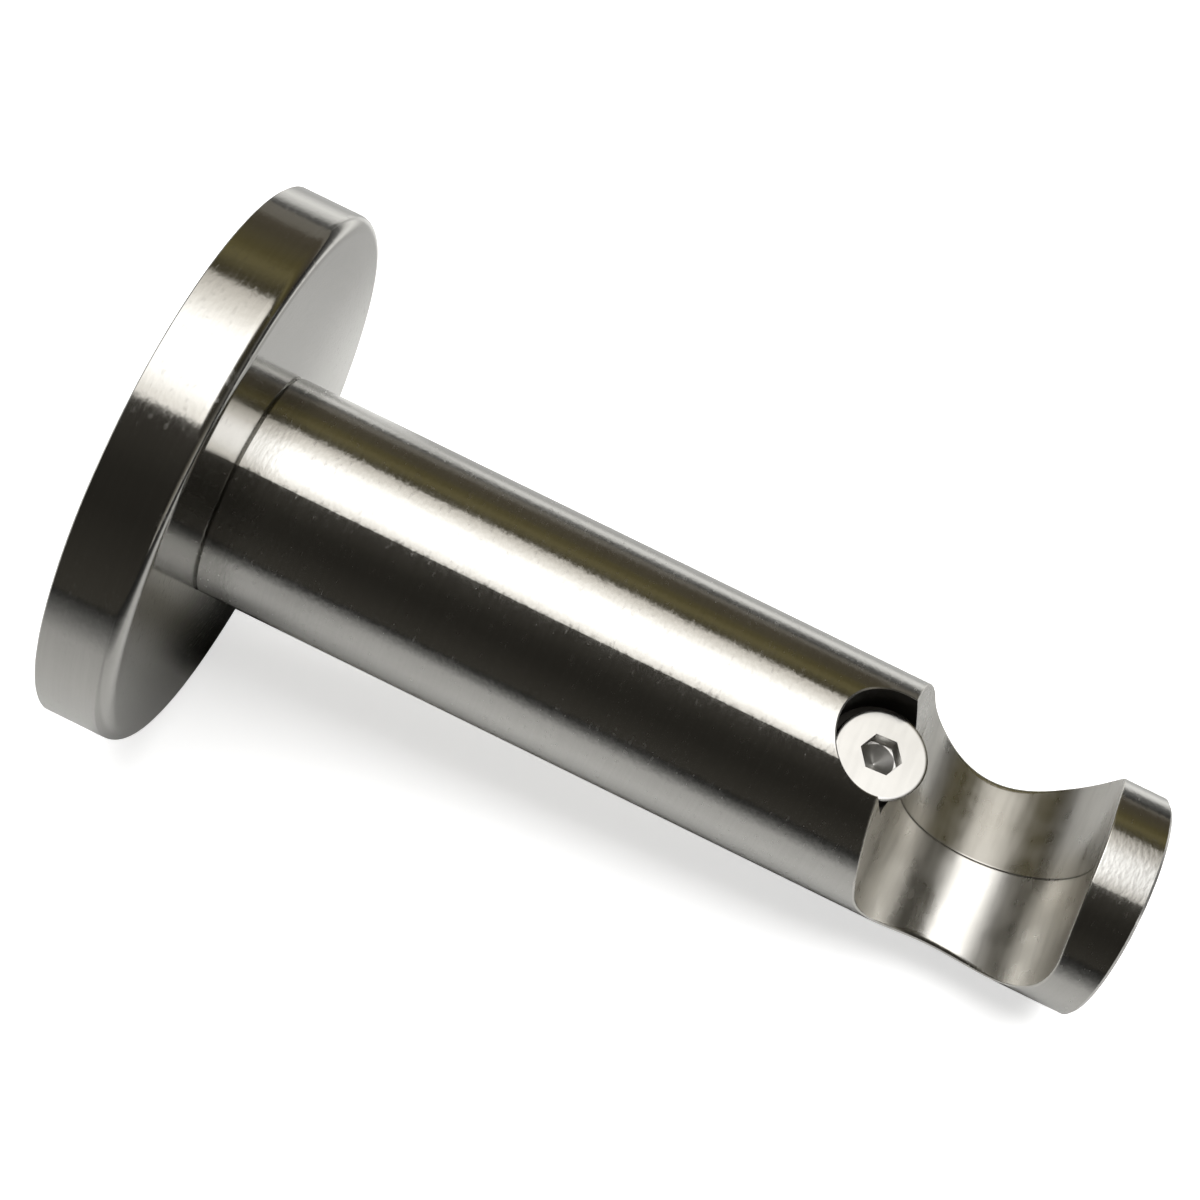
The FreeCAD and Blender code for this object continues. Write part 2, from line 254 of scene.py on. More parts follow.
def turned_grain():
    """Marks of brushing round an axis along Y: the pattern runs fast along the profile, which is the height
    less the radius, and slowly round the axis. Out come long fine lines, short flecks and soft clouds."""
    group, (across, along, up), start, end = new_group("turned_grain", TURNED_SCALES, ("Lines", "Flecks", "Clouds"))
    squares = math_node(group, "ADD", times(group, across, across), times(group, up, up))
    profile = math_node(group, "SUBTRACT", along, math_node(group, "SQRT", squares))
    fast, slow, short = (start[name] for name in TURNED_SCALES)
    wide = times(group, fast, 0.6)
    lines = noise(group, stretched(group, (across, profile, up), (slow, fast, slow)), detail=2.0, roughness=0.6)
    flecks = noise(group, stretched(group, (across, profile, up), (short, wide, short)), detail=1.0, roughness=0.4)
    clouds = noise(group, start["Vector"], detail=3.0, roughness=0.55, scale=75.0)
    for name, value in (("Lines", lines), ("Flecks", flecks), ("Clouds", clouds)):
        link(group, value, end[name])


SATIN_SCALES = {"Streaks per metre": 1100.0, "Dents per metre": 750.0, "Clouds per metre": 260.0}


def satin_skin():
    """The skin of a part cut along X and tumbled after that: soft streaks along X, shallow dents and clouds."""
    group, parts, start, end = new_group("satin_skin", SATIN_SCALES, ("Streaks", "Dents", "Clouds"))
    streaks, dents, clouds = (start[name] for name in SATIN_SCALES)
    slow = times(group, streaks, 0.12)
    for name, scales, detail in (("Streaks", (slow, streaks, streaks), 1.5), ("Dents", (dents, dents, dents), 0.5),
                                 ("Clouds", (clouds, clouds, clouds), 2.0)):
        link(group, noise(group, stretched(group, parts, scales), detail), end[name])


def place_group(tree, name, where, scales):
    """The outputs of the named group, placed on the coordinates with its scales."""
    node = tree.nodes.new("ShaderNodeGroup")
    node.node_tree = bpy.data.node_groups[name]
    fill(tree, node, {"Vector": where, **scales})
    return node.outputs


def new_material(name):
    """A node material with its Principled shader, and the object coordinates."""
    material = bpy.data.materials.new(name)
    material.use_nodes = True
    tree = material.node_tree
    shader = tree.nodes["Principled BSDF"]
    shader.inputs["Metallic"].default_value = 1.0
    where = tree.nodes.new("ShaderNodeTexCoord")
    return tree, shader, where.outputs["Object"]


def blend(tree, fac, first, second):
    """A mix of two colours, each an RGB triple or a socket, by a factor."""
    mix = tree.nodes.new("ShaderNodeMix")
    mix.data_type = "RGBA"
    fill(tree, mix, {"Factor": fac, "A": first, "B": second})
    return mix.outputs["Result"]


def bump(tree, shader, height, distance):
    """A height into the shader's normal, at full strength."""
    node = tree.nodes.new("ShaderNodeBump")
    fill(tree, node, {"Strength": 1.0, "Distance": distance, "Height": height})
    link(tree, node.outputs["Normal"], shader.inputs["Normal"])


def scaled(colour, factor):
    """A colour made darker or lighter."""
    return tuple(min(1.0, part * factor) for part in colour)


def turned_steel(name, colour, roughness, fray):
    """Steel brushed round the arm's axis: fine lines in colour and roughness, and flecks that are a little rougher
    and tilt the surface, so that the edges of bright reflections fray."""
    tree, shader, where = new_material(name)
    lines, flecks, clouds = place_group(tree, "turned_grain", where, TURNED_SCALES)
    shade = plus_share(tree, times(tree, lines, 0.5), clouds, 0.5)
    shades = blend(tree, between(tree, shade, 0.35, 0.65), scaled(colour, 0.965), scaled(colour, 1.03))
    link(tree, shades, shader.inputs["Base Color"])
    soft = between(tree, clouds, 0.35, 0.65, roughness * 0.9, roughness * 1.1)
    grainy = between(tree, lines, 0.3, 0.7, -0.015, 0.02)
    worn = between(tree, flecks, 0.60, 0.75, 0.0, 0.10)
    link(tree, math_node(tree, "ADD", soft, math_node(tree, "ADD", grainy, worn)), shader.inputs["Roughness"])
    bump(tree, shader, plus_share(tree, flecks, lines, 0.1), 0.010 * MM * fray)
    shader.inputs["Anisotropic"].default_value = 0.7
    tangent = tree.nodes.new("ShaderNodeTangent")
    tangent.direction_type = "UV_MAP"
    tangent.uv_map = "brush"
    link(tree, tangent.outputs[0], shader.inputs["Tangent"])


def satin_steel(name, colour, roughness, patchy=0.10, relief=1.0):
    """Satin steel, patchy in roughness, with shallow dents and streaks that unsettle its reflections a little."""
    tree, shader, where = new_material(name)
    streaks, dents, clouds = place_group(tree, "satin_skin", where, SATIN_SCALES)
    shade = plus_share(tree, times(tree, streaks, 0.6), clouds, 0.4)
    shades = blend(tree, between(tree, shade, 0.35, 0.65), scaled(colour, 0.92), scaled(colour, 1.05))
    link(tree, shades, shader.inputs["Base Color"])
    wide = between(tree, clouds, 0.3, 0.7, roughness - patchy / 2, roughness + patchy / 2)
    fine = between(tree, streaks, 0.3, 0.7, -0.02, 0.02)
    link(tree, math_node(tree, "ADD", wide, fine), shader.inputs["Roughness"])
    bump(tree, shader, plus_share(tree, dents, streaks, 0.5), 0.012 * MM * relief)


def grid_quads(rows, columns, first=0, wrap=False):
    """Corner numbers of the quads of a grid of points stored row by row; wrap joins the last column to the first."""
    row, column = np.meshgrid(np.arange(rows - 1), np.arange(columns if wrap else columns - 1), indexing="ij")
    beside = (column + 1) % columns
    corners = (row * columns + column, row * columns + beside,
               (row + 1) * columns + beside, (row + 1) * columns + column)
    return np.stack([c.ravel() for c in corners], axis=1) + first


def profile_lengths(profile):
    """The length of a profile's line up to each of its points."""
    return np.concatenate([[0.0], np.cumsum(np.linalg.norm(np.diff(profile, axis=0), axis=1))])


class Patches:
    """Grids of points that become one mesh, each with its own material number and brushing coordinates."""

    BRUSH_SCALE = 10

    def __init__(self):
        self.points, self.quads, self.numbers, self.brush, self.count = [], [], [], [], 0

    def add(self, points, material=0, flip=False, wrap=False, across=None):
        """A grid of points, rows by columns by three. across gives each point's place across the brush lines, which
        is the place along Y if it isn't given. flip turns the quads over."""
        rows, columns, _ = points.shape
        quads = grid_quads(rows, columns, self.count, wrap)
        if flip:
            quads = quads[:, ::-1]
        self.points.append(points.reshape(-1, 3))
        self.quads.append(quads)
        self.numbers.append(np.full(len(quads), material))
        if across is None:
            across = points[..., 1]
        around = np.arctan2(points[..., 2], points[..., 0]) * ARM_RADIUS
        self.brush.append(np.stack([across.ravel(), around.ravel()], axis=1) * self.BRUSH_SCALE)
        self.count += rows * columns

    def mesh(self, name, materials, sharp):
        """One welded mesh, smooth except at edges over the sharp angle, with the brushing directions as its UV map."""
        points = np.concatenate(self.points)
        quads = np.concatenate(self.quads)
        mesh = bpy.data.meshes.new(name)
        mesh.from_pydata(points.tolist(), [], quads.tolist())
        for material in materials:
            mesh.materials.append(bpy.data.materials[material])
        mesh.polygons.foreach_set("material_index", np.concatenate(self.numbers).astype(np.int32))
        layer = mesh.uv_layers.new(name="brush")
        layer.data.foreach_set("uv", np.concatenate(self.brush)[quads.ravel()].ravel())
        weld(mesh)
        mesh.shade_smooth()
        mesh.set_sharp_from_angle(angle=sharp)
        return mesh


def weld(mesh):
    """Merge points that coincide, drop faces without area and turn all faces outwards."""
    work = bmesh.new()
    work.from_mesh(mesh)
    bmesh.ops.remove_doubles(work, verts=work.verts, dist=0.4e-6)
    bmesh.ops.dissolve_degenerate(work, edges=work.edges, dist=0.2e-6)
    bmesh.ops.recalc_face_normals(work, faces=work.faces)
    work.to_mesh(mesh)
    work.free()


def new_object(name, data):
    """An object at the origin."""
    made = bpy.data.objects.new(name, data)
    bpy.context.scene.collection.objects.link(made)
    return made


def cut_away(piece, tool, sharp):
    """Take the tool's solid out of the piece and keep the result as its mesh."""
    modifier = piece.modifiers.new("cut", "BOOLEAN")
    modifier.operation = "DIFFERENCE"
    modifier.solver = "EXACT"
    modifier.object = tool
    depsgraph = bpy.context.evaluated_depsgraph_get()
    result = bpy.data.meshes.new_from_object(piece.evaluated_get(depsgraph))
    piece.modifiers.clear()
    old = piece.data
    if len(result.polygons) in (0, len(old.polygons)):
        raise RuntimeError(f"{tool.name} cut nothing out of {piece.name}, or all of it")
    piece.data = result
    result.name = piece.name
    bpy.data.meshes.remove(old)
    bpy.data.objects.remove(tool)
    result.set_sharp_from_angle(angle=sharp)


def full_turn(columns):
    """Even angles round a full turn."""
    return np.arange(columns) * 2 * np.pi / columns


def spin_rings(profile, centre, axis, columns):
    """A profile of (radius, height) pairs turned once round an axis along Y or Z through centre."""
    angle = full_turn(columns)
    radius = profile[:, :1]
    height = np.broadcast_to(profile[:, 1:], (len(profile), columns))
    first, second = radius * np.cos(angle), radius * np.sin(angle)
    parts = (first, height, second) if axis == "Y" else (first, second, height)
    return np.stack(parts, axis=-1) + np.array(centre)


def stacked(*parts):
    """One array of points or directions from their coordinates, each an array or a number for all."""
    return np.stack(np.broadcast_arrays(*parts), axis=-1)


def unit(vectors):
    """Vectors of length one."""
    return vectors / np.maximum(np.linalg.norm(vectors, axis=-1, keepdims=True), 1e-12)


def cradle_side(height, sizes, tip_side):
    """Distance along Y from the pole's plane to the cradle's profile at a ridge height: an arc below, then a straight
    line that touches it, flared on the wall side and leaning over the pole on the tip side."""
    centre = sizes.radius - sizes.depth
    rise = height - centre
    arc = np.sqrt(np.maximum(sizes.radius ** 2 - rise ** 2, 0.0))
    if tip_side:
        line = (sizes.radius - rise * math.sin(sizes.lean)) / math.cos(sizes.lean)
        return -np.where(rise < sizes.radius * math.sin(sizes.lean), arc, line)
    line = (sizes.radius + rise * math.sin(sizes.flare)) / math.cos(sizes.flare)
    return np.where(rise < -sizes.radius * math.sin(sizes.flare), arc, line)


def cradle_heights(sizes, top, tip_side, steps=46, line_steps=26):
    """Ridge heights from the cradle's bottom to the top: even steps of angle on the arc, then even lengths."""
    centre = sizes.radius - sizes.depth
    turn = math.pi / 2 + sizes.lean if tip_side else math.pi / 2 - sizes.flare
    arc = centre - sizes.radius * np.cos(np.linspace(0.0, turn, steps))
    line = np.linspace(arc[-1], top, line_steps)[1:]
    return np.concatenate([arc, line])


def cradle_columns(half_width, groove):
    """Shares of a cradle row's half width, from the rim at 1 to the ridge at 0, close together at both ends."""
    share = np.concatenate([[1.0, 0.985], np.linspace(0.96, 0.08, 34)])
    return np.concatenate([share, np.array([2.0, 1.2, 0.8, 0.4, 0.0]) * groove / half_width])


def rim_angle(height, sizes):
    """The angle a over the -X horizontal at which the ruled line that drops from a ridge height by the draft meets
    the bar's round of radius r: height = r (sin a + tan(draft) cos a)."""
    return np.arcsin(height / (ARM_RADIUS * math.sqrt(1 + math.tan(sizes.draft) ** 2))) - sizes.draft


def rim_points(angle, height, sizes, tip_side):
    """Points on the bar at an angle over the -X horizontal, at the cradle's profile for a ridge height."""
    y = -sizes.middle + cradle_side(height, sizes, tip_side)
    return stacked(-ARM_RADIUS * np.cos(angle), y, ARM_RADIUS * np.sin(angle))


def rounding_width(edge, sizes):
    """The rounding's width along the edge: the edge break, and under the pole the rolled lip too. The lip fades with
    the power 1.5 of one less the square of the distance from the pole's plane, over 0.72 of the cradle's radius."""
    share = (edge[:, 1] + sizes.middle) / (0.72 * sizes.radius)
    return sizes.edge + sizes.rolled * np.clip(1 - share ** 2, 0.0, 1.0) ** 1.5


def bar_edge(edge, along, width, sizes, tip_side):
    """The rounding's border on the bar: the edge moved away from the cradle by the width, square to its own
    direction, and put back on the bar's round. Its lowest point moves straight round the bar."""
    outward = unit(edge * np.array([1.0, 0.0, 1.0]))
    away = unit(np.cross(along, outward))
    away *= np.sign(away[len(away) // 3, 1]) * (-1.0 if tip_side else 1.0)
    away[0] = np.cross(outward[0], (0.0, 1.0, 0.0))
    away[-1, 0] = 0.0
    moved = edge + unit(away) * width[:, None]
    angle = np.arctan2(moved[:, 2], -moved[:, 0])
    moved[:, 0] = -ARM_RADIUS * np.cos(angle)
    moved[:, 2] = ARM_RADIUS * np.sin(angle)
    moved[0, 1] = -sizes.middle
    moved[-1, 0] = 0.0
    return moved


def bar_wall(border, end, rows, sizes):
    """Half of the bar's surface: straight lines along Y from the rounding's border, and from the line under the
    pole, to the end. Three rows stand close to the border, and the rest spread with the power 1.3 of their share."""
    under = np.linspace(math.atan2(border[0, 2], -border[0, 0]), -math.pi / 2, 70)[1:]
    low = stacked(-ARM_RADIUS * np.cos(under), -sizes.middle, ARM_RADIUS * np.sin(under))
    start = np.concatenate([border[::-1], low])
    close = np.array([0.0, 0.06 * MM, 0.4 * MM])
    far = np.abs(end - start[:, 1])
    spread = np.linspace(0.0, 1.0, rows) ** 1.3
    steps = np.concatenate([np.broadcast_to(close[:, None], (3, len(far))),
                            close[-1] + spread[1:, None] * (far - close[-1])])
    wall = np.broadcast_to(start, (len(steps), *start.shape)).copy()
    wall[..., 1] += np.sign(end - start[:, 1]) * steps
    return wall


def cradle_normal(rows, heights):
    """The profile's normal in the Y and Z directions, pointing into the pole's space."""
    step = unit(stacked(np.gradient(rows[:, 1]), np.gradient(heights)))
    return stacked(step[:, 1], -step[:, 0]) * np.sign(step[len(step) // 2, 0]) * -1.0


def cradle_half(rows, heights, columns, top, sizes):
    """The cradle from the -X rim to the ridge: straight lines that rise by the draft's slope, with half of the
    parting line's notch sunk along the profile's normal at the ridge. The notch fades 0.8 mm under the top."""
    x = rows[:, 0:1] * columns
    fade = np.clip((top - heights) / (0.8 * MM), 0.0, 1.0)[:, None]
    notch = np.clip(1 - np.abs(x) / sizes.groove, 0.0, 1.0) * sizes.groove * fade
    normal = cradle_normal(rows, heights)
    y = rows[:, 1:2] - notch * normal[:, :1]
    z = heights[:, None] + x * math.tan(sizes.draft) - notch * normal[:, 1:]
    return stacked(x, y, z)


BAR, CRADLE, PAINTED_SHADE_HOLLOW, EDGE = range(4)
ARM_FINISHES = ("brushed_bar", "satin_cradle", "dark_hollow", "worn_edge")


def arm_mesh(arm, sizes):
    """The bar with its cradle.

    One side's edge between cradle and bar runs from its lowest point at the -X side up to the top of the bar, where
    a cap of points carries it on to the middle plane. The bar's surface is ruled from that edge, moved outwards, to
    the seam or to the tip. The cradle is ruled from the -X edge, moved inwards, to the ridge and on to the +X side.
    A rounding joins both, a quadratic curve whose middle point is the sharp edge that it replaces.
    """
    patches = Patches()
    slope = math.tan(sizes.draft)
    top = ARM_RADIUS - 0.3 * MM
    last = rim_angle(top, sizes)
    columns = cradle_columns(ARM_RADIUS * math.cos(last), sizes.groove)
    cap_angle = np.arccos(math.cos(last) * columns)[1:]
    cap_height = ARM_RADIUS * (np.sin(cap_angle) + slope * np.cos(cap_angle))
    ruled = unit(np.array([-1.0, 0.0, -slope]))
    borders = []
    for tip_side in (False, True):
        height = cradle_heights(sizes, top, tip_side)
        rim = rim_points(rim_angle(height, sizes), height, sizes, tip_side)
        edge = np.concatenate([rim, rim_points(cap_angle, cap_height, sizes, tip_side)])
        along = unit(np.gradient(edge, axis=0))
        width = rounding_width(edge, sizes)
        outer = bar_edge(edge, along, width, sizes, tip_side)

        lean = np.linalg.norm(np.cross(along[:len(rim)], ruled), axis=-1)
        inner_x = rim[:, 0] + width[:len(rim)] / np.maximum(lean, 0.3)
        inner = stacked(inner_x, rim[:, 1], height + inner_x * slope)
        cap_x = inner_x[-1] * columns[1:]
        cap = stacked(cap_x, rim[-1, 1], top + cap_x * slope)
        cap[-1, 0] = 0.0
        borders.append((inner, height))

        share = np.linspace(0.0, 1.0, ROUNDING_ROWS)[:, None, None]
        rounding = ((1 - share) ** 2 * outer + 2 * share * (1 - share) * edge
                    + share ** 2 * np.concatenate([inner, cap]))
        patches.add(rounding, EDGE, flip=tip_side)
        patches.add(rounding * MIRROR_X, EDGE, flip=not tip_side)

        end, rows = (TIP_Y + arm.tip_chamfer, TIP_ROWS) if tip_side else (SEAM_Y - arm.seam_chamfer, WALL_ROWS)
        wall = bar_wall(outer, end, rows, sizes)
        patches.add(wall, BAR, flip=not tip_side)
        patches.add(wall * MIRROR_X, BAR, flip=tip_side)

    rows, heights = (np.concatenate([wall[:0:-1], tip]) for wall, tip in zip(*borders))
    half = cradle_half(rows, heights, columns, top, sizes)
    patches.add(half, CRADLE, flip=True)
    patches.add(half * MIRROR_X, CRADLE)

    tapped = [(arm.tapped_radius, 0.0), (arm.tapped_radius, arm.tapped_depth),
              (0.0, arm.tapped_depth + arm.tapped_radius * 0.6)]
    add_end(patches, SEAM_Y, -1.0, arm.seam_chamfer, tapped)
    add_end(patches, TIP_Y, 1.0, arm.tip_chamfer, [(0.0, 0.0)])
    return patches.mesh("arm_piece", ARM_FINISHES, BODY_SHARP)


def add_end(patches, face, inward, chamfer, middle):
    """The bar's end: the last ring of its surface, a chamfer, rings over the flat face, and the middle's own profile
    of (radius, depth) pairs. All stand at the same angles as the columns that end there."""
    points = np.concatenate(patches.points)
    last = face + inward * chamfer
    ring = points[(np.abs(points[:, 1] - last) < 1e-7) & (np.hypot(points[:, 0], points[:, 2]) > ARM_RADIUS * 0.999)]
    angle = np.unique(np.round(np.arctan2(ring[:, 2], ring[:, 0]), 7))
    angle = np.append(angle, angle[0] + 2 * np.pi)
    outer, inner = ARM_RADIUS - chamfer, middle[0][0]
    flat = [(radius, 0.0) for radius in outer + (inner - outer) * np.array([0.0, 0.01, 0.2, 0.4, 0.6, 0.8, 0.99])]
    profile = np.array([(ARM_RADIUS, chamfer)] + flat + middle)
    radius, depth = profile[:, :1], profile[:, 1:]
    rings = stacked(radius * np.cos(angle), face + inward * depth, radius * np.sin(angle))
    patches.add(rings, BAR, across=profile_lengths(profile)[:, None] + 0 * angle)


def recess_rings(arm):
    """The clamp screw's sunk hole as rings from the top down: a cylinder whose mouth has an edge break that follows
    the bar's round, a ledge, a cone and the tapped hole with its drill point."""
    angle = full_turn(RECESS_COLUMNS)
    wide = SCREW_HEAD_RADIUS + arm.recess_gap
    seat = wide - 0.8 * MM
    above = ARM_RADIUS + 2 * MM
    spare = 0.05 * MM
    mouth = wide + arm.recess_edge
    floor = arm.recess_floor

    def skin(radius):
        """The bar's height over a circle of the hole."""
        return np.sqrt(ARM_RADIUS ** 2 - (radius * np.cos(angle)) ** 2)

    levels = [(0.0, above), (mouth + spare, above), (mouth + spare, skin(mouth) + spare),
              (wide, skin(wide) - arm.recess_edge), (wide, floor), (seat, floor),
              (arm.hole_radius, floor - seat + arm.hole_radius), (arm.hole_radius, arm.hole_end),
              (0.0, arm.hole_end - 1.8 * MM)]
    return screw_points(levels, angle)


def screw_points(levels, angle):
    """Rings about the clamp screw's axis from (radius, height) pairs, each a number or a row of one per angle."""
    radius, height = (np.array([level[part] + 0 * angle for level in levels]) for part in range(2))
    return stacked(radius * np.cos(angle), radius * np.sin(angle) + SCREW_Y, height)


def socket_levels(sizes, top, angle):
    """The hexagon socket from its drilled bottom up. The hexagon's radius is half its flats over the cosine of the
    angle from the middle of a side."""
    half = sizes.flats / 2
    from_corner = (angle - math.pi / 2 - sizes.socket_turn) % (math.pi / 3)
    hexagon = half / np.cos(from_corner - math.pi / 6)
    floor = top - sizes.socket_depth
    drill = half * 0.98
    cone = 0.55 * drill
    levels = [(drill * part, floor - cone * (1 - part)) for part in (0.0, 0.08, 0.2, 0.4, 0.6, 0.8, 0.96, 1.0)]
    return levels + [(hexagon, floor + 0.02 * MM), (hexagon, floor + 0.1 * MM), (hexagon, top - 0.05 * MM)]


def head_levels(sizes, top, mouth):
    """The head from the socket's mouth out over the flat face, round the rim and down the cone to the thread."""
    head = SCREW_HEAD_RADIUS
    levels = [(mouth * (1 - part) + (head - 0.12 * MM) * part, top) for part in (0.0, 0.1, 0.3, 0.5, 0.7, 0.9)]
    levels += [(head - 0.10 * MM, top), (head - 0.03 * MM, top - 0.03 * MM), (head, top - 0.10 * MM),
               (head, top - sizes.rim)]
    cone = sizes.thread_radius - head
    return levels + [(head + cone * part, top - sizes.rim + cone * part) for part in np.linspace(0.05, 1.0, 8)]


def thread_levels(sizes, top, bottom, angle):
    """The thread: its depth follows a triangle wave of the height over the pitch plus the share of a turn, cut off
    flat at crest and valley, and it fades in over 1.2 mm under the head."""
    neck = top - sizes.rim - (SCREW_HEAD_RADIUS - sizes.thread_radius)
    height = np.linspace(neck - 0.05 * MM, bottom + 0.5 * MM, THREAD_ROWS)
    phase = (height[:, None] / sizes.pitch + angle[None, :] / (2 * np.pi)) % 1.0
    valley = 1 - np.abs(2 * phase - 1)
    fade = np.clip((neck - height) / (1.2 * MM), 0.0, 1.0)[:, None]
    radius = sizes.thread_radius - sizes.thread_depth * fade * np.clip(valley * 1.25 - 0.12, 0.0, 1.0)
    return list(zip(radius, height)) + [(sizes.thread_radius - 0.6 * MM, bottom + 0.2 * MM),
                                        (sizes.thread_radius - 0.8 * MM, bottom), (0.0, bottom)]


def rose_profile(sizes, inner):
    """The rose's outline as (radius, y) pairs: up the rim, round the edge, over the face to the hole, and back
    through the hollow."""
    front = ROSE_LOW.y
    ceiling = front + sizes.front_wall
    round_end, bevel = sizes.edge_round + 0.03 * MM, 0.15 * MM
    turn = np.linspace(0.0, math.pi / 2, 12)
    edge = zip(ROSE_RADIUS - sizes.edge_round * (1 - np.cos(turn)), front + sizes.edge_round * (1 - np.sin(turn)))
    rim = [(ROSE_RADIUS - bevel, 0.0), (ROSE_RADIUS, -bevel)]
    rim += [(ROSE_RADIUS, y) for y in np.linspace(-0.4 * MM, front + round_end, 24)]
    face = [(radius, front) for radius in np.linspace(ROSE_RADIUS - round_end, sizes.screw_hole, 60)]
    back = [(sizes.screw_hole, ceiling), (inner, ceiling), (inner, 0.0), (ROSE_RADIUS - bevel, 0.0)]
    return np.array(rim + list(edge) + face + back)


class BRACKET_OT_materials(bpy.types.Operator):
    """Make the shader groups and the steel finishes"""

    bl_idname = "bracket.materials"
    bl_label = "Make finishes"

    def execute(self, context):
        colours = context.scene.bracket_colours
        turned_grain()
        satin_skin()
        turned_steel("brushed_bar", colours.turned, 0.18, fray=1.3)
        turned_steel("brushed_rose", colours.turned, 0.13, fray=0.6)
        satin_steel("satin_cradle", colours.cradle, 0.30, relief=0.33)
        satin_steel("worn_edge", colours.cradle, 0.24, patchy=0.04, relief=0.1)
        # The hollows' finish, whose near-black colour is painted shade.
        satin_steel("dark_hollow", colours.hollow, 0.55)
        satin_steel("socket_finish", scaled(colours.screw, 1.3), 0.34, relief=0.5)
        satin_steel("screw_finish", colours.screw, 0.22, patchy=0.02, relief=0.08)
        satin_steel("plated_finish", colours.zinc, 0.34)
        return {"FINISHED"}


class BRACKET_OT_arm(bpy.types.Operator):
    """Make the arm: the brushed bar, the cradle and the clamp screw's sunk hole"""

    bl_idname = "bracket.arm"
    bl_label = "Make arm"

    def execute(self, context):
        arm, saddle = context.scene.bracket_arm, context.scene.bracket_saddle
        piece = new_object("arm_piece", arm_mesh(arm, saddle))
        tool = Patches()
        rings = recess_rings(arm)
        # The recess's mouth gets the edge finish. Its walls, ledge, cone and hole get the painted shade of the
        # hollows.
        tool.add(rings[:4], EDGE, wrap=True)
        tool.add(rings[3:], PAINTED_SHADE_HOLLOW, wrap=True)
        cutter = new_object("recess_tool", tool.mesh("recess_tool", ARM_FINISHES, TOOL_SHARP))
        cut_away(piece, cutter, BODY_SHARP)
        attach(piece, "bracket")
        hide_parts("arm")
        return {"FINISHED"}


class BRACKET_OT_rose(bpy.types.Operator):
    """Make the rose: a profile turned round the arm's axis, with the grub screw's hole"""

    bl_idname = "bracket.rose"
    bl_label = "Make rose"

    def execute(self, context):
        sizes = context.scene.bracket_rose
        finishes = ("brushed_rose", "dark_hollow")
        inner = ROSE_RADIUS - sizes.rim_wall
        profile = rose_profile(sizes, inner)
        points = spin_rings(profile, (0.0, 0.0, 0.0), "Y", ROSE_COLUMNS)
        patches = Patches()
        patches.add(points, 0, wrap=True, across=np.broadcast_to(profile_lengths(profile)[:, None], points.shape[:2]))
        piece = new_object("rose_piece", patches.mesh("rose_piece", finishes, BODY_SHARP))
        start, end = -ROSE_RADIUS - 2 * MM, -inner + MM
        hole = np.array([(0.0, start), (sizes.grub_hole, start), (sizes.grub_hole, end), (0.0, end)])
        tool = Patches()
        middle = (PLATE_LOW.y + PLATE_HIGH.y) / 2
        # The grub screw's hole gets the painted shade of the hollows.
        tool.add(spin_rings(hole, (0.0, middle, 0.0), "Z", GRUB_HOLE_COLUMNS), 1, wrap=True, flip=True)
        cutter = new_object("grub_tool", tool.mesh("grub_tool", finishes, TOOL_SHARP))
        cut_away(piece, cutter, BODY_SHARP)
        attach(piece, "bracket")
        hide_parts("rose")
        return {"FINISHED"}


class BRACKET_OT_clamp_screw(bpy.types.Operator):
    """Make the clamp screw: flat head, hexagon socket with a drilled bottom, and a thread"""

    bl_idname = "bracket.clamp_screw"
    bl_label = "Make clamp screw"

    def execute(self, context):
        sizes = context.scene.bracket_clamp
        angle = full_turn(SCREW_COLUMNS)
        top, bottom = SCREW_HIGH.z, SCREW_LOW.z
        socket = socket_levels(sizes, top, angle)
        hexagon = socket[-1][0]
        outside = head_levels(sizes, top, hexagon + 0.03 * MM) + thread_levels(sizes, top, bottom, angle)
        points = screw_points(socket + outside, angle)
        patches = Patches()
        patches.add(points[:len(socket)], 1, wrap=True, flip=True)
        patches.add(points[len(socket) - 1:], 0, wrap=True, flip=True)
        mesh = patches.mesh("clamp_screw_piece", ("screw_finish", "socket_finish"), SCREW_SHARP)
        piece = new_object("clamp_screw_piece", mesh)
        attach(piece, "clamp")
        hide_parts("clamp_screw")
        return {"FINISHED"}


class BRACKET_OT_hidden_pieces(bpy.types.Operator):
    """Give the mounting plate, the arm's screw, its washer and the grub screw their finishes"""

    bl_idname = "bracket.hidden_pieces"
    bl_label = "Finish hidden pieces"

    def execute(self, context):
        for node, finish in (("mounting_plate", "plated_finish"), ("rose_grub_screw", "screw_finish"),
                             ("arm_screw", "screw_finish"), ("arm_lock_washer", "plated_finish")):
            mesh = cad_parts[node].data
            mesh.materials.clear()
            mesh.materials.append(bpy.data.materials[finish])
        return {"FINISHED"}


def grey(value, warm=1.0):
    """A grey, slightly warm."""
    return (value, value * (1 - 0.07 * warm), value * (1 - 0.22 * warm))


# Colours of the cards by the angle about the arm's axis in degrees: a dim brown strip at the +X horizon, olive above
# it, and near-black from the soft light over to the -X horizon.
TENT_STOPS = (
    (-12, (0.26, 0.247, 0.22)), (4, (0.24, 0.222, 0.188)), (7, (0.115, 0.098, 0.072)),
    (14, (0.105, 0.090, 0.060)), (20, (0.125, 0.108, 0.062)), (28, (0.14, 0.118, 0.050)),
    (34, (0.22, 0.190, 0.09)), (38, (0.17, 0.148, 0.075)), (43, (0.085, 0.073, 0.04)),
    (100, (0.07, 0.062, 0.042)), (104, grey(0.06)), (118, grey(0.052)), (130, grey(0.036)),
    (146, grey(0.033)), (160, grey(0.044)), (176, grey(0.06)), (192, grey(0.07)))

# Colours of the tent's ends by the height over the arm's axis, as a share of the end's distance.
WALL_END_STOPS = ((-0.4, grey(0.32, 0.5)), (-0.08, grey(0.30, 0.6)), (0.1, grey(0.20)), (0.35, grey(0.10)),
                  (0.6, grey(0.06)), (1.0, grey(0.05)))
TIP_END_STOPS = ((-0.4, grey(0.75, 0.3)), (0.12, grey(0.70, 0.3)), (0.30, grey(0.32)), (0.55, grey(0.08)),
                 (1.0, grey(0.06)))

